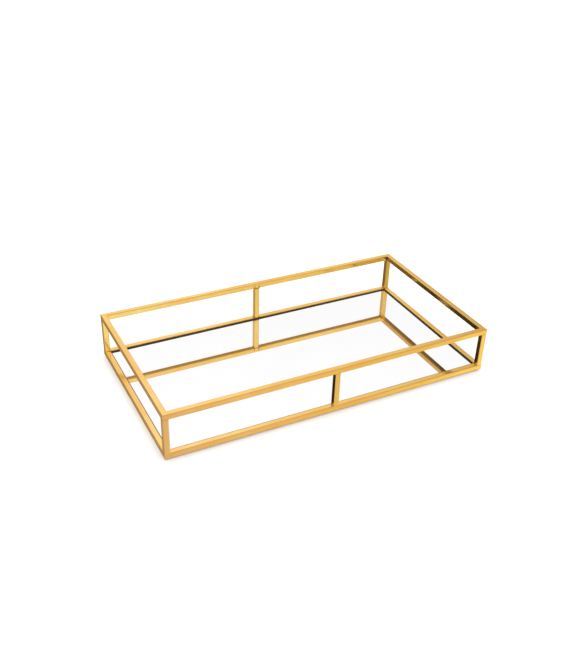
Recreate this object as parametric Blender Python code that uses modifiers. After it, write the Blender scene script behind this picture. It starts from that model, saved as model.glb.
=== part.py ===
"""Vanity tray: an open frame of square bar around a recessed mirror.

Metres, +Z up, +X along the length. The origin is the centre of the footprint, on the surface the tray stands on.
From below the stack is: four pads, a felt sheet, ledge strips with a backing board between them, and the mirror.
"""

import math

import bpy

# Overall sizes
LENGTH = 0.330
WIDTH = 0.178
HEIGHT = 0.0475

# Bars of the frame
BAR = 0.0053
EDGE_ROUND = 0.00035
JOINT_GAP = 0.0003
RAIL_CLEARANCE = 0.0015  # from the surface up to the bottom rails

# Stack inside the bottom rails
PAD_THICKNESS = 0.001
PAD_RADIUS = 0.005
PAD_INSET = 0.003  # from a pad's rim to the bottom rails
FELT_THICKNESS = 0.0005
FELT_CLEARANCE = 0.0004
LEDGE_THICKNESS = 0.001
LEDGE_WIDTH = 0.009
BOARD_CLEARANCE = 0.0005
MIRROR_THICKNESS = 0.003
MIRROR_CLEARANCE = 0.0004
MIRROR_ARRIS = 0.0004
MIRROR_RECESS = 0.0004  # from the bottom rails' top down to the mirror

# Levels worked out from the stack
FELT_Z = PAD_THICKNESS + JOINT_GAP
LEDGE_Z = FELT_Z + FELT_THICKNESS + JOINT_GAP
MIRROR_Z = LEDGE_Z + LEDGE_THICKNESS + JOINT_GAP
BOTTOM_RAIL_TOP = MIRROR_Z + MIRROR_THICKNESS + MIRROR_RECESS
TOP_RAIL_Z = HEIGHT - BAR

# Inside of the rails
INNER_LENGTH = LENGTH - 2 * BAR
INNER_WIDTH = WIDTH - 2 * BAR

PAD_SEGMENTS = 32
EDGE_SEGMENTS = 2
SHARP_ANGLE = math.radians(30)


def clear_scene():
    for obj in list(bpy.data.objects):
        bpy.data.objects.remove(obj, do_unlink=True)


def make_collection(name):
    collection = bpy.data.collections.new(name)
    bpy.context.scene.collection.children.link(collection)
    return collection


def make_material(name, colour, roughness, metallic=0.0):
    material = bpy.data.materials.new(name)
    material.use_nodes = True
    shader = material.node_tree.nodes["Principled BSDF"]
    shader.inputs["Base Color"].default_value = (*colour, 1.0)
    shader.inputs["Roughness"].default_value = roughness
    shader.inputs["Metallic"].default_value = metallic
    material.diffuse_color = (*colour, 1.0)
    return material


def place(obj, name, material):
    """Names the object, gives it its material and puts it in the tray's collection under the root empty."""
    obj.name = name
    obj.data.name = name
    obj.data.materials.append(material)
    for collection in list(obj.users_collection):
        collection.objects.unlink(obj)
    tray.objects.link(obj)
    obj.parent = root
    return obj


def round_edges(obj, width):
    """Rounds every sharp edge of the object."""
    bevel = obj.modifiers.new("round_edges", "BEVEL")
    bevel.width = width
    bevel.segments = EDGE_SEGMENTS
    bevel.limit_method = "ANGLE"
    bevel.angle_limit = SHARP_ANGLE


def add_box(name, size, centre, material, edge=0.0):
    bpy.ops.mesh.primitive_cube_add(size=1.0, location=centre)
    obj = bpy.context.object
    obj.scale = size
    bpy.ops.object.transform_apply(location=False, rotation=False, scale=True)
    place(obj, name, material)
    if edge:
        round_edges(obj, edge)
    return obj


def add_rail(name, run, low, height, location, turn):
    """A bar along its own X axis with mitred ends. Its outer face lies at its own Y = 0, its inner face at BAR."""
    setback = JOINT_GAP / math.sqrt(2)
    outer = run / 2 - setback
    inner = outer - BAR
    outline = [(-outer, 0.0), (outer, 0.0), (inner, BAR), (-inner, BAR)]
    curve = bpy.data.curves.new(name, "CURVE")
    curve.dimensions = "2D"
    curve.fill_mode = "BOTH"
    curve.extrude = height / 2
    spline = curve.splines.new("POLY")
    spline.points.add(len(outline) - 1)
    for point, (x, y) in zip(spline.points, outline):
        point.co = (x, y, 0.0, 1.0)
    spline.use_cyclic_u = True
    obj = bpy.data.objects.new(name, curve)
    bpy.context.scene.collection.objects.link(obj)
    obj.location = (*location, low + height / 2)
    obj.rotation_euler = (0.0, 0.0, turn)
    place(obj, name, gold)
    weld = obj.modifiers.new("weld_caps", "WELD")
    weld.merge_threshold = 0.00001
    round_edges(obj, EDGE_ROUND)
    return obj


def add_rails(level, low, height):
    """The four mitred rails of the top or the bottom frame."""
    sides = {
        "front": (LENGTH, (0.0, -WIDTH / 2), 0.0),
        "back": (LENGTH, (0.0, WIDTH / 2), math.pi),
        "right": (WIDTH, (LENGTH / 2, 0.0), math.pi / 2),
        "left": (WIDTH, (-LENGTH / 2, 0.0), -math.pi / 2),
    }
    for side, (run, location, turn) in sides.items():
        add_rail(f"{level}_rail_{side}", run, low, height, location, turn)


def add_posts():
    """Four corner posts and a middle post on each long side, butted between the bottom and the top rails."""
    low = BOTTOM_RAIL_TOP + JOINT_GAP
    high = TOP_RAIL_Z - JOINT_GAP
    size = (BAR, BAR, high - low)
    across = (WIDTH - BAR) / 2
    along = (LENGTH - BAR) / 2
    for depth, y in (("front", -across), ("back", across)):
        for side, x in (("left", -along), ("right", along)):
            add_box(f"corner_post_{depth}_{side}", size, (x, y, (low + high) / 2), gold, EDGE_ROUND)
        add_box(f"mid_post_{depth}", size, (0.0, y, (low + high) / 2), gold, EDGE_ROUND)


def add_ledges():
    """Flat strips along the inside of the bottom rails, which carry the mirror's border."""
    z = LEDGE_Z + LEDGE_THICKNESS / 2
    long_run = INNER_LENGTH - 2 * JOINT_GAP
    short_run = INNER_WIDTH - 2 * LEDGE_WIDTH - 4 * JOINT_GAP
    y = (INNER_WIDTH - LEDGE_WIDTH) / 2 - JOINT_GAP
    x = (INNER_LENGTH - LEDGE_WIDTH) / 2 - JOINT_GAP
    long_size = (long_run, LEDGE_WIDTH, LEDGE_THICKNESS)
    short_size = (LEDGE_WIDTH, short_run, LEDGE_THICKNESS)
    add_box("ledge_strip_front", long_size, (0.0, -y, z), steel)
    add_box("ledge_strip_back", long_size, (0.0, y, z), steel)
    add_box("ledge_strip_left", short_size, (-x, 0.0, z), steel)
    add_box("ledge_strip_right", short_size, (x, 0.0, z), steel)


def add_sheets():
    """The backing board between the ledges, the felt below both, and the mirror on top."""
    border = LEDGE_WIDTH + JOINT_GAP + BOARD_CLEARANCE
    board_size = (INNER_LENGTH - 2 * border, INNER_WIDTH - 2 * border, LEDGE_THICKNESS)
    add_box("backing_board", board_size, (0.0, 0.0, LEDGE_Z + LEDGE_THICKNESS / 2), board)
    felt_size = (INNER_LENGTH - 2 * FELT_CLEARANCE, INNER_WIDTH - 2 * FELT_CLEARANCE, FELT_THICKNESS)
    add_box("felt_underlay", felt_size, (0.0, 0.0, FELT_Z + FELT_THICKNESS / 2), felt)
    mirror_size = (INNER_LENGTH - 2 * MIRROR_CLEARANCE, INNER_WIDTH - 2 * MIRROR_CLEARANCE, MIRROR_THICKNESS)
    add_box("mirror_plate", mirror_size, (0.0, 0.0, MIRROR_Z + MIRROR_THICKNESS / 2), mirror, MIRROR_ARRIS)


def add_pads():
    """A round pad under each corner of the felt."""
    x = INNER_LENGTH / 2 - PAD_INSET - PAD_RADIUS
    y = INNER_WIDTH / 2 - PAD_INSET - PAD_RADIUS
    for depth, sign_y in (("front", -1), ("back", 1)):
        for side, sign_x in (("left", -1), ("right", 1)):
            bpy.ops.mesh.primitive_cylinder_add(
                vertices=PAD_SEGMENTS,
                radius=PAD_RADIUS,
                depth=PAD_THICKNESS,
                location=(sign_x * x, sign_y * y, PAD_THICKNESS / 2),
            )
            pad = place(bpy.context.object, f"pad_{depth}_{side}", rubber)
            pad.data.shade_smooth()
            pad.data.set_sharp_from_angle(angle=SHARP_ANGLE)


clear_scene()
tray = make_collection("vanity_tray")
root = bpy.data.objects.new("vanity_tray_root", None)
tray.objects.link(root)

gold = make_material("polished_gold", (0.83, 0.55, 0.20), 0.16, 1.0)
steel = make_material("gold_strip", (0.74, 0.50, 0.20), 0.35, 1.0)
mirror = make_material("mirror", (0.94, 0.96, 0.95), 0.02, 1.0)
board = make_material("backing_board", (0.30, 0.22, 0.15), 0.85)
felt = make_material("felt", (0.02, 0.02, 0.022), 0.95)
rubber = make_material("pad_rubber", (0.03, 0.03, 0.03), 0.6)

add_rails("bottom", RAIL_CLEARANCE, BOTTOM_RAIL_TOP - RAIL_CLEARANCE)
add_rails("top", TOP_RAIL_Z, BAR)
add_posts()
add_ledges()
add_sheets()
add_pads()
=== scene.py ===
import math

import bmesh
import bpy
from mathutils import Matrix, Vector, noise


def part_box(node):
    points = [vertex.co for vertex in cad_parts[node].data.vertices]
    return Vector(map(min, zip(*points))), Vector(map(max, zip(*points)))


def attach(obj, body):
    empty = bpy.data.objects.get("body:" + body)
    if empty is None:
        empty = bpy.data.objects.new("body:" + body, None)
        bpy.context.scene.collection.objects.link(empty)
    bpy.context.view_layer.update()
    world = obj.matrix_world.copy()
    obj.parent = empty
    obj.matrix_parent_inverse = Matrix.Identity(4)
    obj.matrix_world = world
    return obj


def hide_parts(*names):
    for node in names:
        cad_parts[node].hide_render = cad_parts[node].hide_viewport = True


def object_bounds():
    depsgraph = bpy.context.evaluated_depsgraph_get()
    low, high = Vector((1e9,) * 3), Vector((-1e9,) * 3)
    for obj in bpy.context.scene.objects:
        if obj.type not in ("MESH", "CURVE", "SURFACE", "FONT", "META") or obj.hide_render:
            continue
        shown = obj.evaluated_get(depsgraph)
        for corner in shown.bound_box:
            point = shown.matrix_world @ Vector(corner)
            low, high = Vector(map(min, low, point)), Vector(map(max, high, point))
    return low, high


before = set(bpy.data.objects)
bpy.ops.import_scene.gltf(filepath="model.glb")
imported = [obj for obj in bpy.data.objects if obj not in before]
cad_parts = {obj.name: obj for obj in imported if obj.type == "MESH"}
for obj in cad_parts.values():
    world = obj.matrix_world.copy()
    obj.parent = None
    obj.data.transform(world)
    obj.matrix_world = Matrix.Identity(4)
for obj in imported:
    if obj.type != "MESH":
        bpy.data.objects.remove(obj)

CAD_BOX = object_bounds()

MM = 0.001

# Camera. Azimuth 0 looks along +Y.
CAMERA_AZIMUTH = math.radians(-28.05)
CAMERA_ELEVATION = math.radians(32.0)
CAMERA_ROLL = math.radians(2.1)
CAMERA_DISTANCE = 0.893
CAMERA_TARGET = Vector((0.0244, 0.0439, 0.0))
CAMERA_LENS = 45.7
CAMERA_CLIP_START = 0.01

# Studio
KEY_PLACE = (-0.9, -1.0, 1.6)
KEY_SIZE = 1.2
KEY_POWER = 6.0
LIGHTING_STRENGTH = 1.26  # of the world where it lights matt surfaces
REFLECTED_STRENGTH = 1.04  # of the world as the gold and the mirror show it
GOLD_RAY_DEPTH = 4.5  # a ray through the glass with more bounces than this came from the gold
WHITE = (1.0, 1.0, 1.0, 1.0)
MIRROR_WHITE = (1.04, 1.025, 1.045, 1.0)
WARM_CAST = (0.965, 0.81, 0.54, 1.0)
FLOOR_REACH = 6.0

SHARP_ANGLE = math.radians(40)  # a wider angle between faces shows as an edge

# Bars
EDGE_RADIUS = 0.55 * MM
ARC_STEPS = 5
FLAT_MARGIN = 0.25 * MM  # from a rounding to the points that keep its flat face flat
STATION_GAP = 12 * MM
STATION_MARGIN = 1 * MM
STATIONS_BY_JOINT = (0.0, 0.4, 0.9, 1.5, 2.3, 4.0)  # mm either way from a joint
STATIONS_BY_END = (0.0, 0.04, 0.1, 0.18, 0.28, 0.4, 0.5, 0.9, 1.5, 2.3, 4.0)  # mm from the end of a post
MITRE_SEAM = 0.03 * MM  # each rail stops this far short of the mitre
MITRE_EDGE = 0.4 * MM  # from the mitre to the first ring beside it
MITRE_LANDING = 0.9 * MM  # from the mitre's inner end to the first square ring
WELD_RADIUS = 0.5 * MM
WELD_MIDDLE = 0.1 * MM  # points this near a post's middle plane don't flare
JOINT_REACH = 1.3 * MM  # how far the soil and painted shade spread from a joint
SOIL_AND_SHADE_SIDE = 0.3  # share of a bar's width from its middle to where the soiled, shaded side starts

# Mirror: glass, silver and paint at its back, and a dark border: sealer on the glass's edge, and painted
# shade in the gap
GLASS_CORNER = 1.0 * MM
GLASS_ARRIS = 0.1 * MM
CONTACT = 0.01 * MM  # kept between faces that would otherwise coincide
COAT_CORNER = 0.8 * MM
SILVER_MARGIN = 0.45 * MM  # from the glass's edge in to the silver's
SILVER_ARRIS = 0.01 * MM
PAINT_ARRIS = 0.03 * MM
SEAL_DEPTH = 0.06 * MM
SEAL_CORNER = 0.2 * MM  # least corner radius of a border piece

# Heights in the mirror, from the glass's lower face up
SILVER_TOP = 0.04 * MM
PAINT_TOP = -0.02 * MM
PAINT_BOTTOM = -0.15 * MM
SEAL_BOTTOM = -0.1 * MM

# Depths in the mirror, from the glass's upper face down
SEAL_DROP = 0.2 * MM
GAP_SHADE_TOP = 0.8 * MM
GAP_SHADE_DIP = 0.1 * MM  # of the gap shade piece's middle below its top
GAP_SHADE_BOTTOM = 1.8 * MM

# Ledge strips and backing board
STRIP_CORNER = 0.4 * MM
STRIP_ARRIS = 0.12 * MM
BOARD_CORNER = 1.2 * MM
BOARD_ARRIS = 0.08 * MM

# Felt
FELT_CELLS = (160, 84)
FELT_RAG = 0.12 * MM  # how far the cut edge strays
FELT_RAG_RATE = 700  # changes a metre
FELT_WAVE = 0.05 * MM  # how far the face rises and falls
FELT_WAVE_RATE = 90

# Pads
PAD_SEGMENTS = 48
PAD_DISH = 0.12 * MM
PAD_DISH_EDGE = 0.10 * MM
PAD_DISH_SHARE = 0.55  # of the radius, out to where the dish turns down to the foot
PAD_FOOT_SHARES = (0.66, 0.82)  # of the radius, where the flat foot starts and ends
PAD_RIM = 0.5 * MM
PAD_RIM_STEPS = 6
PAD_CHAMFER = (0.05 * MM, 0.15 * MM)  # down the rim, and in across the top
PAD_CENTRE = 0.05 * MM  # radius of the smallest ring

SIDES = ("front", "back", "left", "right")


# ---------------------------------------------------------------- node helpers

class Graph:
    """A short way to write a node tree."""

    def __init__(self, tree):
        self.tree = tree
        self.tree.nodes.clear()

    def add(self, kind, inputs=None, **settings):
        node = self.tree.nodes.new(kind)
        for key, value in settings.items():
            setattr(node, key, value)
        for key, value in (inputs or {}).items():
            self.feed(node.inputs[key], value)
        return node

    def feed(self, socket, value):
        if isinstance(value, bpy.types.NodeSocket):
            self.tree.links.new(value, socket)
        elif isinstance(value, bpy.types.Node):
            self.tree.links.new(value.outputs[0], socket)
        else:
            socket.default_value = value

    def math(self, operation, *values, clamp=False):
        node = self.add("ShaderNodeMath", operation=operation, use_clamp=clamp)
        for socket, value in zip(node.inputs, values):
            self.feed(socket, value)
        return node.outputs[0]

    def noise(self, vector, scale, detail=3.0, roughness=0.5):
        values = {"Vector": vector, "Scale": scale, "Detail": detail, "Roughness": roughness}
        return self.add("ShaderNodeTexNoise", values).outputs["Fac"]

    def ramp(self, factor, stops):
        """A colour ramp of (place, colour or grey) stops."""
        node = self.add("ShaderNodeValToRGB", {"Fac": factor})
        elements = node.color_ramp.elements
        while len(elements) < len(stops):
            elements.new(0.5)
        for element, (place, colour) in zip(elements, stops):
            element.position = place
            element.color = (*colour, 1.0) if isinstance(colour, tuple) else (colour, colour, colour, 1.0)
        return node.outputs["Color"]

    def mix(self, factor, first, second, blend="MIX"):
        node = self.add("ShaderNodeMix", data_type="RGBA", blend_type=blend)
        self.feed(node.inputs["Factor"], factor)
        self.feed(node.inputs[6], first)
        self.feed(node.inputs[7], second)
        return node.outputs[2]

    def stretch(self, vector, scale):
        node = self.add("ShaderNodeMapping", {"Vector": vector, "Scale": scale})
        return node.outputs[0]

    def spread(self, value, low, high, to_low, to_high):
        values = {"Value": value, "From Min": low, "From Max": high, "To Min": to_low, "To Max": to_high}
        return self.add("ShaderNodeMapRange", values).outputs[0]

    def patch(self, direction, centre, full, none):
        """1 within full degrees of a direction, falling to 0 at none degrees."""
        node = self.add("ShaderNodeVectorMath", operation="DOT_PRODUCT")
        self.feed(node.inputs[0], direction)
        self.feed(node.inputs[1], Vector(centre).normalized())
        outer = math.cos(math.radians(none))
        inner = math.cos(math.radians(full))
        return self.spread(node.outputs["Value"], outer, inner, 0.0, 1.0)

    def bump(self, height, strength, distance, normal=None):
        node = self.add("ShaderNodeBump", {"Height": height, "Strength": strength, "Distance": distance})
        if normal is not None:
            self.feed(node.inputs["Normal"], normal)
        return node.outputs[0]


def new_material(name, build, **fixed):
    """A material of one Principled shader. build(graph) returns its linked inputs, fixed holds the others."""
    material = bpy.data.materials.new(name)
    material.use_nodes = True
    graph = Graph(material.node_tree)
    shader = graph.add("ShaderNodeBsdfPrincipled")
    for key, value in fixed.items():
        shader.inputs[key.replace("_", " ")].default_value = value
    for key, value in build(graph).items():
        graph.feed(shader.inputs[key], value)
    graph.add("ShaderNodeOutputMaterial", {"Surface": shader})
    return material


# ---------------------------------------------------------------- materials

def polished_gold(graph):
    """Gold plating over polished bar: slow shifts of tone, a fine polish along the bar, and soil with painted
    shade at the welds.
    """
    place = graph.add("ShaderNodeTexCoord").outputs["Object"]
    joint = graph.add("ShaderNodeAttribute", attribute_name="joint").outputs["Fac"]
    edge = graph.add("ShaderNodeAttribute", attribute_name="edge").outputs["Fac"]
    slow = graph.noise(graph.stretch(place, (1.0, 4.0, 4.0)), 26.0, 2.0)
    lines = graph.noise(graph.stretch(place, (0.05, 1.0, 1.0)), 9000.0, 3.0, 0.6)
    grain = graph.noise(place, 2600.0, 4.0, 0.6)
    smear = graph.noise(graph.stretch(place, (0.4, 1.0, 1.0)), 300.0, 4.0, 0.55)

    tone = graph.ramp(slow, [
        (0.36, (0.97, 0.71, 0.30)),
        (0.50, (0.975, 0.76, 0.345)),
        (0.66, (0.98, 0.80, 0.38)),
    ])
    worn = graph.mix(graph.math("MULTIPLY", edge, 0.35), tone, (0.985, 0.83, 0.50, 1.0))
    # Soil at the welds, with painted shade: the joint mark darkens the inner corners of the joints, where
    # shade falls.
    soil_and_shade_line = graph.spread(smear, 0.3, 0.7, 0.55, 1.0)
    soil_and_shade = graph.math("MULTIPLY", joint, soil_and_shade_line, clamp=True)
    colour = graph.mix(graph.math("MULTIPLY", soil_and_shade, 0.85), worn, (0.12, 0.08, 0.035, 1.0))

    polish = graph.spread(smear, 0.3, 0.75, 0.09, 0.2)
    fine = graph.spread(lines, 0.3, 0.7, -0.02, 0.03)
    rough = graph.math("ADD", polish, fine)

    waves = graph.bump(graph.noise(graph.stretch(place, (0.35, 1.0, 1.0)), 120.0, 2.0), 0.12, 0.0006)
    brushed = graph.bump(lines, 0.05, 0.00003, waves)
    normal = graph.bump(grain, 0.05, 0.00004, brushed)
    return {"Base Color": colour, "Roughness": rough, "Normal": normal}


def satin_strip(graph):
    """Rolled steel strip under gold lacquer, with scuffs."""
    place = graph.add("ShaderNodeTexCoord").outputs["Object"]
    rolled = graph.noise(graph.stretch(place, (0.06, 1.0, 1.0)), 5000.0, 4.0, 0.6)
    scuffs = graph.noise(place, 180.0, 5.0, 0.65)
    colour = graph.ramp(scuffs, [
        (0.35, (0.55, 0.35, 0.13)),
        (0.55, (0.74, 0.50, 0.20)),
        (0.75, (0.82, 0.60, 0.30)),
    ])
    rough = graph.spread(rolled, 0.3, 0.7, 0.28, 0.46)
    return {"Base Color": colour, "Roughness": rough, "Normal": graph.bump(rolled, 0.25, 0.00005)}


def mirror_silver(graph):
    """The silver behind the glass, with the faintest haze."""
    place = graph.add("ShaderNodeTexCoord").outputs["Object"]
    haze = graph.noise(place, 40.0, 4.0)
    colour = graph.ramp(haze, [(0.3, (0.965, 0.97, 0.97)), (0.7, (0.975, 0.98, 0.98))])
    return {"Base Color": colour, "Roughness": graph.spread(haze, 0.3, 0.7, 0.0, 0.006)}


def mirror_glass(graph):
    """Clear float glass with a slight green cast."""
    place = graph.add("ShaderNodeTexCoord").outputs["Object"]
    cast = graph.noise(place, 30.0, 2.0)
    colour = graph.ramp(cast, [(0.3, (0.992, 1.0, 0.996)), (0.7, (0.996, 1.0, 0.998))])
    return {"Base Color": colour}


def edge_seal_and_gap_shade(graph):
    """Near-black sealer, brushed on the cut edge of the glass; the same near-black fills the gap beside it as
    painted shade.
    """
    place = graph.add("ShaderNodeTexCoord").outputs["Object"]
    strokes = graph.noise(place, 900.0, 4.0)
    colour = graph.ramp(strokes, [(0.35, (0.014, 0.008, 0.003)), (0.7, (0.028, 0.016, 0.006))])
    rough = graph.spread(strokes, 0.3, 0.7, 0.5, 0.8)
    return {"Base Color": colour, "Roughness": rough, "Normal": graph.bump(strokes, 0.2, 0.00005)}


def backing_paint(graph):
    """Grey sealing paint, rolled on: a fine orange peel with darker passes."""
    place = graph.add("ShaderNodeTexCoord").outputs["Object"]
    passes = graph.noise(graph.stretch(place, (0.1, 1.0, 1.0)), 120.0, 3.0)
    peel = graph.noise(place, 2500.0, 3.0)
    colour = graph.ramp(passes, [(0.35, (0.045, 0.047, 0.05)), (0.7, (0.07, 0.072, 0.075))])
    rough = graph.spread(peel, 0.3, 0.7, 0.45, 0.65)
    return {"Base Color": colour, "Roughness": rough, "Normal": graph.bump(peel, 0.3, 0.00005)}


def pressed_board(graph):
    """Brown pressed board with short fibres and flecks."""
    place = graph.add("ShaderNodeTexCoord").outputs["Object"]
    fibres = graph.noise(graph.stretch(place, (0.3, 1.0, 1.0)), 1800.0, 5.0, 0.7)
    flecks = graph.noise(place, 700.0, 4.0, 0.7)
    colour = graph.ramp(flecks, [
        (0.35, (0.22, 0.16, 0.105)),
        (0.60, (0.31, 0.23, 0.155)),
        (0.75, (0.40, 0.31, 0.22)),
    ])
    rough = graph.spread(fibres, 0.3, 0.7, 0.8, 0.95)
    return {"Base Color": colour, "Roughness": rough, "Normal": graph.bump(fibres, 0.5, 0.0001)}


def black_felt(graph):
    """Short matted wool: clumps, crossing fibres and a few pale lint specks."""
    place = graph.add("ShaderNodeTexCoord").outputs["Object"]
    clumps = graph.noise(place, 350.0, 5.0, 0.7)
    along = graph.noise(graph.stretch(place, (0.2, 1.0, 1.0)), 4200.0, 4.0, 0.7)
    across = graph.noise(graph.stretch(place, (1.0, 0.2, 1.0)), 4200.0, 4.0, 0.7)
    fibres = graph.math("MAXIMUM", along, across)
    shade = graph.ramp(clumps, [(0.35, (0.010, 0.010, 0.011)), (0.7, (0.028, 0.027, 0.028))])
    lint = graph.ramp(graph.noise(place, 900.0, 2.0), [(0.76, 0.0), (0.82, 1.0)])
    colour = graph.mix(graph.math("MULTIPLY", lint, 0.25), shade, (0.12, 0.115, 0.11, 1.0))
    height = graph.math("ADD", graph.math("MULTIPLY", clumps, 0.6), graph.math("MULTIPLY", fibres, 0.5))
    rough = graph.spread(fibres, 0.4, 0.75, 0.85, 1.0)
    return {"Base Color": colour, "Roughness": rough, "Normal": graph.bump(height, 0.7, 0.0003)}


def pad_rubber(graph):
    """Moulded rubber with a matt skin and dusty patches."""
    place = graph.add("ShaderNodeTexCoord").outputs["Object"]
    grain = graph.noise(place, 3500.0, 3.0)
    dust = graph.noise(place, 260.0, 5.0, 0.65)
    colour = graph.ramp(dust, [(0.4, (0.022, 0.022, 0.023)), (0.72, (0.055, 0.052, 0.048))])
    rough = graph.spread(dust, 0.3, 0.7, 0.5, 0.75)
    return {"Base Color": colour, "Roughness": rough, "Normal": graph.bump(grain, 0.25, 0.00006)}


def pale_floor(graph):
    place = graph.add("ShaderNodeTexCoord").outputs["Object"]
    mottle = graph.noise(place, 14.0, 4.0)
    return {"Base Color": graph.ramp(mottle, [(0.3, (0.93, 0.93, 0.93)), (0.7, (0.94, 0.94, 0.94))])}


GOLD = new_material("polished_gold", polished_gold, Metallic=1.0)
STRIP = new_material("gold_strip", satin_strip, Metallic=1.0)
SILVER = new_material("mirror_silver", mirror_silver, Metallic=1.0)
GLASS = new_material(
    "mirror_glass",
    mirror_glass,
    Transmission_Weight=1.0,
    Roughness=0.0,
    IOR=1.5,
    # A dark brown reflection tint: painted shade, which keeps the glass's sheen off the dark line along its
    # edge.
    Specular_Tint=(0.25, 0.15, 0.05, 1.0),
)
# Near-black on the glass's edge and in the gap beside it: partly sealer, partly painted shade of the gap.
SEAL_AND_GAP_SHADE = new_material("edge_seal_and_gap_shade", edge_seal_and_gap_shade, Specular_IOR_Level=0.08)
PAINT = new_material("backing_paint", backing_paint)
BOARD = new_material("pressed_board", pressed_board)
FELT = new_material("black_felt", black_felt, Sheen_Weight=0.35, Sheen_Roughness=0.6)
RUBBER = new_material("pad_rubber", pad_rubber)
FLOOR = new_material("pale_floor", pale_floor, Roughness=1.0, Specular_IOR_Level=0.0)


# ---------------------------------------------------------------- mesh helpers

def link(name, mesh, material, body="root"):
    """Makes a piece of the mesh and lets it ride on its body."""
    piece = bpy.data.objects.new(name, mesh)
    bpy.context.scene.collection.objects.link(piece)
    mesh.materials.append(material)
    if body:
        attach(piece, body)
    return piece


def corners_of(node):
    """A CAD node's lowest and highest corners as vectors."""
    return [Vector(corner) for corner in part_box(node)]


def band(low, high, count):
    """The faces between two rings of count points, which start at points number low and high."""
    faces = []
    for point in range(count):
        after = (point + 1) % count
        faces.append((low + point, low + after, high + after, high + point))
    return faces


def closed_mesh(name, rings, faces, marks):
    """A smooth mesh of the rings' points. marks names values for each point, ring by ring."""
    mesh = bpy.data.meshes.new(name)
    mesh.from_pydata([point for ring in rings for point in ring], [], faces)
    for key, values in marks.items():
        layer = mesh.attributes.new(key, "FLOAT", "POINT")
        layer.data.foreach_set("value", [value for ring in values for value in ring])
    work = bmesh.new()
    work.from_mesh(mesh)
    bmesh.ops.recalc_face_normals(work, faces=work.faces)
    work.to_mesh(mesh)
    work.free()
    mesh.shade_smooth()
    mesh.set_sharp_from_angle(angle=SHARP_ANGLE)
    for face in mesh.polygons:
        if len(face.vertices) > 4:
            face.use_smooth = False
    return mesh


def loft(name, rings, **marks):
    """A mesh through rings of equally many points, with a cap at each end."""
    count = len(rings[0])
    faces = []
    for ring in range(len(rings) - 1):
        faces += band(ring * count, (ring + 1) * count, count)
    faces.append(tuple(reversed(range(count))))
    faces.append(tuple(range((len(rings) - 1) * count, len(rings) * count)))
    return closed_mesh(name, rings, faces, marks)


def hoop(name, rings):
    """A mesh round a hoop: the last ring joins the first."""
    count = len(rings[0])
    faces = []
    for ring in range(len(rings)):
        faces += band(ring * count, (ring + 1) % len(rings) * count, count)
    return closed_mesh(name, rings, faces, {})


def bar_profile(width, height, radius):
    """A rounded rectangle around the origin as (u, v, edge) points, where edge is 1 on the rounding."""
    points = []
    corners = ((1, 1, 0), (-1, 1, 90), (-1, -1, 180), (1, -1, 270))
    for sign_u, sign_v, start in corners:
        middle = (sign_u * (width / 2 - radius), sign_v * (height / 2 - radius))
        arc = []
        for step in range(ARC_STEPS + 1):
            angle = math.radians(start + 90 * step / ARC_STEPS)
            arc.append((middle[0] + radius * math.cos(angle), middle[1] + radius * math.sin(angle), 1.0))
        along = math.radians(start)
        margin_u = FLAT_MARGIN * math.sin(along)
        margin_v = FLAT_MARGIN * math.cos(along)
        lead = (arc[0][0] + margin_u, arc[0][1] - margin_v, 0.0)
        trail = (arc[-1][0] - margin_v, arc[-1][1] - margin_u, 0.0)
        points += [lead, *arc, trail]
    return points


def near_joint(distance):
    """1 at a joint, falling smoothly to 0 at the reach of the soil and painted shade."""
    part = min(max(1 - distance / JOINT_REACH, 0.0), 1.0)
    return part * part * (3 - 2 * part)


# ---------------------------------------------------------------- frame bars

def stations(low, high, joints):
    """Places along a rail: close together near each joint, and spread evenly elsewhere."""
    found = {low, high}
    for joint in joints:
        for step in STATIONS_BY_JOINT:
            for sign in (-1, 1):
                place = joint + sign * step * MM
                if low < place < high:
                    found.add(round(place, 7))
    count = max(int((high - low) / STATION_GAP), 1)
    for step in range(1, count):
        place = low + (high - low) * step / count
        if min(abs(place - other) for other in found) > STATION_MARGIN:
            found.add(round(place, 7))
    return sorted(found)


def rail(node, side):
    """A mitred rail. Its own X runs along the bar, its own Y points inwards from the outer face."""
    low, high = corners_of(node)
    whole_low, whole_high = (Vector(corner) for corner in CAD_BOX)
    turn = {"front": 0.0, "right": 90.0, "back": 180.0, "left": 270.0}[side]
    along_x = side in ("front", "back")
    run = (whole_high - whole_low)[0 if along_x else 1]
    width = (high - low)[1 if along_x else 0]
    height = high.z - low.z
    outer = {
        "front": (0.0, whole_low.y),
        "back": (0.0, whole_high.y),
        "left": (whole_low.x, 0.0),
        "right": (whole_high.x, 0.0),
    }[side]
    joints = [-run / 2 + width, run / 2 - width]
    if along_x:
        joints += [-width / 2, width / 2]
    shape = [(u + width / 2, v, edge) for u, v, edge in bar_profile(width, height, EDGE_RADIUS)]
    facing = 1 if node.startswith("bottom") else -1
    rings, joint_marks, edge_marks = [], [], []

    # Soil and painted shade near the joints: only on the inner half, on a bottom rail's top and a top rail's
    # underside.
    def soil_and_shade(x, y, z):
        inside = y > width * SOIL_AND_SHADE_SIDE and facing * z > 0
        return max(near_joint(abs(x - joint)) for joint in joints) * inside

    def ring(place, slope, shift=0.0):
        line = [(place + slope * y + shift, y, z) for y, z, _ in shape]
        rings.append(line)
        joint_marks.append([soil_and_shade(*point) for point in line])
        edge_marks.append([edge for _, _, edge in shape])

    ring(-run / 2, 1, MITRE_SEAM)
    ring(-run / 2 + MITRE_EDGE, 1)
    for place in stations(-run / 2 + width + MITRE_LANDING, run / 2 - width - MITRE_LANDING, joints):
        ring(place, 0)
    ring(run / 2 - MITRE_EDGE, -1)
    ring(run / 2, -1, -MITRE_SEAM)
    mesh = loft(f"gold_{node}", rings, joint=joint_marks, edge=edge_marks)
    piece = link(f"gold_{node}", mesh, GOLD)
    middle = Matrix.Translation((*outer, (low.z + high.z) / 2))
    piece.matrix_world = middle @ Matrix.Rotation(math.radians(turn), 4, "Z")
    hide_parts(node)


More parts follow.
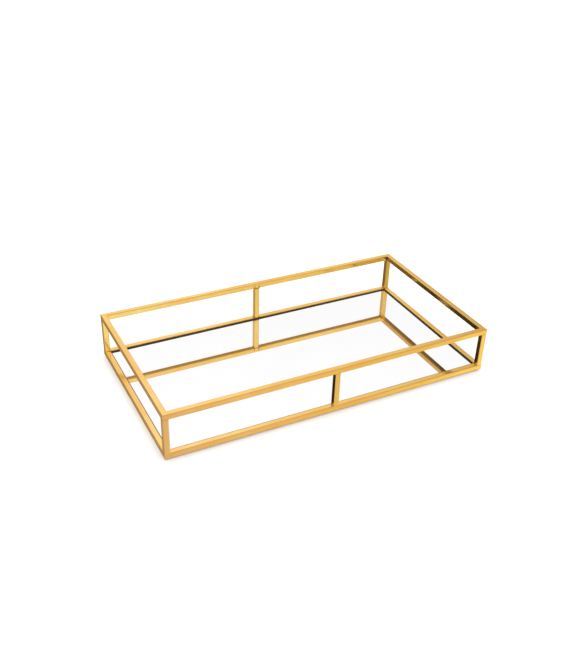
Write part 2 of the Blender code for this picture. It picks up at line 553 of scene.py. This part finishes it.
def post(node, flares, inward, bottom, top):
    """A post between the rails.

    flares lists the sides, as (x, y) signs, where a weld fillet runs onto the rails. inward points to the
    tray's inside, where the weld holds soil and painted shade.
    """
    low, high = corners_of(node)
    width = high.x - low.x
    depth = high.y - low.y
    centre = Vector(((low.x + high.x) / 2, (low.y + high.y) / 2, (bottom + top) / 2))
    height = top - bottom
    shape = bar_profile(width, depth, EDGE_RADIUS)
    places = [-height / 2 + step * MM for step in STATIONS_BY_END]
    places += [0.0]
    places += [height / 2 - step * MM for step in reversed(STATIONS_BY_END)]
    rings, joint_marks, edge_marks = [], [], []
    for place in places:
        gap = height / 2 - abs(place)
        flare = 0.0
        if gap < WELD_RADIUS:
            flare = WELD_RADIUS - math.sqrt(WELD_RADIUS**2 - (WELD_RADIUS - gap) ** 2)
        line = []
        marks = []
        for x, y, _ in shape:
            for sign_x, sign_y in flares:
                if sign_x * x > WELD_MIDDLE:
                    x += sign_x * flare
                if sign_y * y > WELD_MIDDLE:
                    y += sign_y * flare
            # Soil and painted shade at the post's ends, on its inner sides.
            inside = x * inward[0] > -width * SOIL_AND_SHADE_SIDE and y * inward[1] > -depth * SOIL_AND_SHADE_SIDE
            line.append((place, x, y))
            marks.append(near_joint(gap) * inside)
        rings.append(line)
        joint_marks.append(marks)
        edge_marks.append([edge for _, _, edge in shape])
    mesh = loft(f"gold_{node}", rings, joint=joint_marks, edge=edge_marks)
    piece = link(f"gold_{node}", mesh, GOLD)
    # The post's own X runs up, so that the polish runs along it as on the rails.
    axes = Matrix(((0, 1, 0, 0), (0, 0, 1, 0), (1, 0, 0, 0), (0, 0, 0, 1)))
    piece.matrix_world = Matrix.Translation(centre) @ axes
    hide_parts(node)


def make_frame():
    for level in ("bottom", "top"):
        for side in SIDES:
            rail(f"{level}_rail_{side}", side)
    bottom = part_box("bottom_rail_front")[1][2]
    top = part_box("top_rail_front")[0][2]
    for depth, inward_y in (("front", 1), ("back", -1)):
        for side, inward_x in (("left", 1), ("right", -1)):
            inward = (inward_x, inward_y)
            post(f"corner_post_{depth}_{side}", [inward], inward, bottom, top)
        post(f"mid_post_{depth}", [(1, 0), (-1, 0)], (0, inward_y), bottom, top)


# ---------------------------------------------------------------- mirror and underside

def outline(low, high, radius, inset=0.0, steps=6):
    """A rounded rectangle in X and Y as a list of points."""
    points = []
    low_x, low_y, high_x, high_y = low[0] + inset, low[1] + inset, high[0] - inset, high[1] - inset
    corners = (
        (high_x, high_y, -1, -1, 0),
        (low_x, high_y, 1, -1, 90),
        (low_x, low_y, 1, 1, 180),
        (high_x, low_y, -1, 1, 270),
    )
    for x, y, sign_x, sign_y, start in corners:
        for step in range(steps + 1):
            angle = math.radians(start + 90 * step / steps)
            points.append((
                x + sign_x * radius + radius * math.cos(angle),
                y + sign_y * radius + radius * math.sin(angle),
            ))
    return points


def plate(name, low, high, radius, arris, material, slot, levels=3):
    """A flat plate with rounded corners and rounded-over edges."""
    rings = []

    def ring(angle, z):
        inset = arris * (1 - math.sin(angle))
        rings.append([(x, y, z) for x, y in outline(low, high, radius, inset)])

    for step in range(levels + 1):
        angle = math.pi / 2 * step / levels
        ring(angle, low[2] + arris * (1 - math.cos(angle)))
    for step in range(levels + 1):
        angle = math.pi / 2 * (1 - step / levels)
        ring(angle, high[2] - arris * (1 - math.cos(angle)))
    return link(name, loft(name, rings), material)


def border(name, profile, low, high):
    """A dark piece round the mirror. Its profile's points are (distance in from the glass edge, height)."""
    rings = []
    for inset, z in profile:
        radius = max(GLASS_CORNER - inset, SEAL_CORNER)
        rings.append([(x, y, z) for x, y in outline(low, high, radius, inset)])
    return link(name, hoop(name, rings), SEAL_AND_GAP_SHADE)


def make_mirror():
    """Glass with the silver just inside its lower face, sealing paint below, and a dark border of sealer and
    painted shade in the gap.
    """
    low, high = corners_of("mirror_plate")
    glass = plate("mirror_glass", low, high, GLASS_CORNER, GLASS_ARRIS, GLASS, "mirror")
    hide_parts("mirror_plate")

    inset = Vector((SILVER_MARGIN, SILVER_MARGIN, 0))
    silver_low = Vector((low.x, low.y, low.z + CONTACT)) + inset
    silver_high = Vector((high.x, high.y, low.z + SILVER_TOP)) - inset
    plate("mirror_silver", silver_low, silver_high, COAT_CORNER, SILVER_ARRIS, SILVER, "mirror")

    seal_low, seal_high = low.z + SEAL_BOTTOM, high.z - SEAL_DROP
    border("mirror_edge_seal", [
        (CONTACT, seal_low),
        (CONTACT, seal_high),
        (SEAL_DEPTH, seal_high),
        (SEAL_DEPTH, seal_low),
    ], low, high)

    # A dark piece in the gap between the glass and the rails: painted shade.
    rail_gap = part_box("bottom_rail_left")[1][0] - low.x
    border("mirror_gap_painted_shade", [
        (rail_gap, high.z - GAP_SHADE_BOTTOM),
        (rail_gap, high.z - GAP_SHADE_TOP),
        (rail_gap / 2, high.z - GAP_SHADE_TOP - GAP_SHADE_DIP),
        (-CONTACT, high.z - GAP_SHADE_TOP),
        (-CONTACT, high.z - GAP_SHADE_BOTTOM),
    ], low, high)

    paint_low = Vector((low.x, low.y, low.z + PAINT_BOTTOM)) + inset / 2
    paint_high = Vector((high.x, high.y, low.z + PAINT_TOP)) - inset / 2
    plate("mirror_backing_paint", paint_low, paint_high, COAT_CORNER, PAINT_ARRIS, PAINT, "mirror")


def make_ledges():
    for side in SIDES:
        node = f"ledge_strip_{side}"
        piece = plate(f"gold_{node}", *corners_of(node), STRIP_CORNER, STRIP_ARRIS, STRIP, "ledge_strip")
        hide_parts(node)


def make_board():
    low, high = corners_of("backing_board")
    piece = plate("pressed_backing_board", low, high, BOARD_CORNER, BOARD_ARRIS, BOARD, "backing_board")
    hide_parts("backing_board")


def make_felt():
    """The felt sheet: its face undulates a little and its cut edge is slightly ragged."""
    low, high = corners_of("felt_underlay")
    cells_x, cells_y = FELT_CELLS
    work = bmesh.new()
    grid = []
    for row in range(cells_y + 1):
        line = []
        for column in range(cells_x + 1):
            x = low.x + (high.x - low.x) * column / cells_x
            y = low.y + (high.y - low.y) * row / cells_y
            ragged = FELT_RAG * noise.noise(Vector((x * FELT_RAG_RATE, y * FELT_RAG_RATE, 3.0)))
            x += ragged * (column in (0, cells_x))
            y += ragged * (row in (0, cells_y))
            wave = FELT_WAVE * noise.noise(Vector((x * FELT_WAVE_RATE, y * FELT_WAVE_RATE, 1.0)))
            line.append(work.verts.new((x, y, high.z - FELT_WAVE + wave)))
        grid.append(line)
    for near_row, far_row in zip(grid, grid[1:]):
        for column in range(cells_x):
            work.faces.new((near_row[column], near_row[column + 1], far_row[column + 1], far_row[column]))
    mesh = bpy.data.meshes.new("felt_sheet")
    work.to_mesh(mesh)
    work.free()
    mesh.shade_smooth()
    felt = link("felt_sheet", mesh, FELT)
    solidify = felt.modifiers.new("thickness", "SOLIDIFY")
    solidify.thickness = (high.z - low.z) - 2 * FELT_WAVE
    solidify.offset = -1.0
    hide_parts("felt_underlay")


def pad_profile(radius, thick):
    """Half a pad's section as (distance from its axis, height): dish, flat foot, round rim, chamfered top."""
    points = [(0.0, PAD_DISH), (radius * PAD_DISH_SHARE, PAD_DISH_EDGE)]
    points += [(radius * share, 0.0) for share in PAD_FOOT_SHARES]
    for step in range(1, PAD_RIM_STEPS + 1):
        angle = math.pi / 2 * step / PAD_RIM_STEPS
        points.append((radius - PAD_RIM + PAD_RIM * math.sin(angle), PAD_RIM * (1 - math.cos(angle))))
    down, across = PAD_CHAMFER
    points += [(radius - down, thick - down), (radius - across, thick)]
    return points


def make_pads():
    turns = [math.tau * step / PAD_SEGMENTS for step in range(PAD_SEGMENTS)]
    for depth in ("front", "back"):
        for side in ("left", "right"):
            node = f"pad_{depth}_{side}"
            low, high = corners_of(node)
            centre = (low + high) / 2
            rings = []
            for distance, z in pad_profile((high.x - low.x) / 2, high.z - low.z):
                distance = max(distance, PAD_CENTRE)
                rings.append([(distance * math.cos(turn), distance * math.sin(turn), z) for turn in turns])
            piece = link(f"rubber_{node}", loft(f"rubber_{node}", rings), RUBBER)
            piece.location = (centre.x, centre.y, low.z)
            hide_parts(node)


# ---------------------------------------------------------------- studio

def make_camera():
    back = Vector((
        math.sin(CAMERA_AZIMUTH) * math.cos(CAMERA_ELEVATION),
        -math.cos(CAMERA_AZIMUTH) * math.cos(CAMERA_ELEVATION),
        math.sin(CAMERA_ELEVATION),
    ))
    data = bpy.data.cameras.new("camera")
    data.lens = CAMERA_LENS
    data.clip_start = CAMERA_CLIP_START
    camera = bpy.data.objects.new("camera", data)
    bpy.context.scene.collection.objects.link(camera)
    camera.rotation_mode = "QUATERNION"
    facing = (-back).to_track_quat("-Z", "Y")
    roll = Matrix.Rotation(CAMERA_ROLL, 4, "Z").to_quaternion()
    camera.rotation_quaternion = facing @ roll
    camera.location = CAMERA_TARGET + back * CAMERA_DISTANCE
    bpy.context.scene.camera = camera


def seen_above(graph, across):
    """What the gold sees above the floor: brightest just right of the middle, and dim at both sides."""
    return graph.ramp(across, [
        (0.22, (0.64, 0.60, 0.56)),
        (0.42, (0.66, 0.63, 0.58)),
        (0.52, (0.96, 0.93, 0.92)),
        (0.60, (1.04, 1.05, 1.22)),
        (0.71, (0.97, 0.94, 0.90)),
        (0.79, (0.64, 0.58, 0.50)),
    ])


def seen_below(graph, direction, across, steep, to_back):
    """What the gold sees below the horizon: warm in front, and darker behind where the view is steep."""
    front = graph.ramp(across, [
        (0.45, (0.72, 0.60, 0.66)),
        (0.61, (0.73, 0.62, 0.64)),
        (0.64, (0.77, 0.67, 0.60)),
        (0.71, (0.86, 0.76, 0.54)),
        (0.78, (1.06, 1.02, 0.66)),
    ])
    olive = graph.patch(direction, (0.503, -0.745, -0.437), 3.0, 7.0)
    front = graph.mix(olive, front, (0.52, 0.43, 0.22, 1.0))
    behind = graph.ramp(across, [
        (0.14, (0.62, 0.56, 0.46)),
        (0.18, (0.03, 0.02, 0.008)),
        (0.216, (0.03, 0.02, 0.008)),
        (0.238, (0.17, 0.125, 0.045)),
        (0.285, (0.19, 0.14, 0.05)),
        (0.312, (0.84, 0.76, 0.76)),
        (0.34, (0.76, 0.66, 0.62)),
        (0.40, (0.30, 0.24, 0.16)),
        (0.60, (0.42, 0.36, 0.30)),
        (0.735, (0.36, 0.29, 0.19)),
        (0.775, (0.03, 0.02, 0.012)),
    ])
    behind = graph.mix(graph.spread(steep, 0.34, 0.42, 0.0, 1.0), (0.98, 0.93, 0.86, 1.0), behind)
    return graph.mix(to_back, front, behind)


def seen_by_mirror(graph, across, steep, to_back):
    """What the gold sees in the mirror: bright in front, nearly black behind where the view is steep."""
    front = graph.ramp(across, [
        (0.35, (0.03, 0.02, 0.01)),
        (0.56, (1.02, 1.16, 1.14)),
        (0.62, (1.02, 1.14, 1.10)),
        (0.68, (0.95, 0.90, 0.70)),
        (0.76, (0.85, 0.75, 0.40)),
    ])
    behind = graph.ramp(steep, [
        (0.36, (1.0, 0.97, 0.92)),
        (0.40, (0.27, 0.21, 0.08)),
        (0.44, (0.15, 0.10, 0.03)),
        (0.46, (0.05, 0.025, 0.006)),
        (0.475, (0.0, 0.0, 0.0)),
    ])
    return graph.mix(to_back, front, behind)


def make_world():
    """An even white studio. The gold sees it with dimmer sides, and the mirror sees it white."""
    world = bpy.data.worlds.new("studio")
    world.use_nodes = True
    bpy.context.scene.world = world
    graph = Graph(world.node_tree)
    direction = graph.add("ShaderNodeTexCoord").outputs["Generated"]
    x, y, z = graph.add("ShaderNodeSeparateXYZ", {"Vector": direction}).outputs
    path = graph.add("ShaderNodeLightPath").outputs
    # across is 0 at the left and 1 at the right, to_back 0 in front and 1 behind, and steep 0 at the horizon.
    across = graph.spread(x, -1.0, 1.0, 0.0, 1.0)
    to_back = graph.spread(y, -0.1, 0.2, 0.0, 1.0)
    steep = graph.math("ABSOLUTE", z)

    above = seen_above(graph, across)
    below = seen_below(graph, direction, across, steep, to_back)
    direct = graph.mix(graph.math("LESS_THAN", z, 0.0), above, below)
    by_mirror = seen_by_mirror(graph, across, steep, to_back)
    long_way = graph.math("GREATER_THAN", path["Ray Depth"], GOLD_RAY_DEPTH)
    over_gold = graph.math("MULTIPLY", path["Is Transmission Ray"], long_way)
    seen_in_gold = graph.mix(over_gold, direct, by_mirror)

    # A dark ceiling and a dark band at the horizon, which mostly the rounded edges of the bars see.
    ceiling = graph.spread(z, 0.68, 0.78, 0.0, 1.0)
    horizon = graph.spread(steep, 0.22, 0.32, 1.0, 0.0)
    dark = graph.ramp(across, [(0.46, (0.07, 0.04, 0.02)), (0.56, (0.58, 0.37, 0.18))])
    seen_in_gold = graph.mix(graph.math("MAXIMUM", ceiling, horizon), seen_in_gold, dark)

    # Slow shifts of tone, and a warm cast.
    blotches = graph.noise(direction, 7.0, 2.0)
    tint = graph.ramp(blotches, [
        (0.36, (0.90, 0.82, 0.66)),
        (0.50, (1.0, 1.0, 1.0)),
        (0.62, (1.06, 1.08, 1.16)),
    ])
    seen_in_gold = graph.mix(1.0, seen_in_gold, tint, "MULTIPLY")
    seen_in_gold = graph.mix(1.0, seen_in_gold, WARM_CAST, "MULTIPLY")

    plain_mirror = graph.math("SUBTRACT", path["Is Transmission Ray"], over_gold)
    reflected = graph.mix(plain_mirror, seen_in_gold, MIRROR_WHITE)
    glossy = graph.math("MAXIMUM", path["Is Glossy Ray"], path["Is Transmission Ray"])
    colour = graph.mix(glossy, WHITE, reflected)
    strength = graph.spread(glossy, 0.0, 1.0, LIGHTING_STRENGTH, REFLECTED_STRENGTH)
    background = graph.add("ShaderNodeBackground", {"Color": colour, "Strength": strength})
    graph.add("ShaderNodeOutputWorld", {"Surface": background})


def make_floor():
    mesh = bpy.data.meshes.new("floor")
    corners = [(x * FLOOR_REACH, y * FLOOR_REACH, 0) for x, y in ((-1, -1), (1, -1), (1, 1), (-1, 1))]
    mesh.from_pydata(corners, [], [(0, 1, 2, 3)])
    floor = link("floor", mesh, FLOOR, body=None)
    floor.visible_glossy = False


def make_key_light():
    data = bpy.data.lights.new("key", "AREA")
    data.size = KEY_SIZE
    data.energy = KEY_POWER
    light = bpy.data.objects.new("key", data)
    bpy.context.scene.collection.objects.link(light)
    light.location = KEY_PLACE
    light.rotation_euler = (-Vector(KEY_PLACE)).to_track_quat("-Z", "Y").to_euler()


make_frame()
make_mirror()
make_ledges()
make_board()
make_felt()
make_pads()
make_camera()
make_world()
make_floor()
make_key_light()
bpy.context.scene.view_settings.view_transform = "Standard"
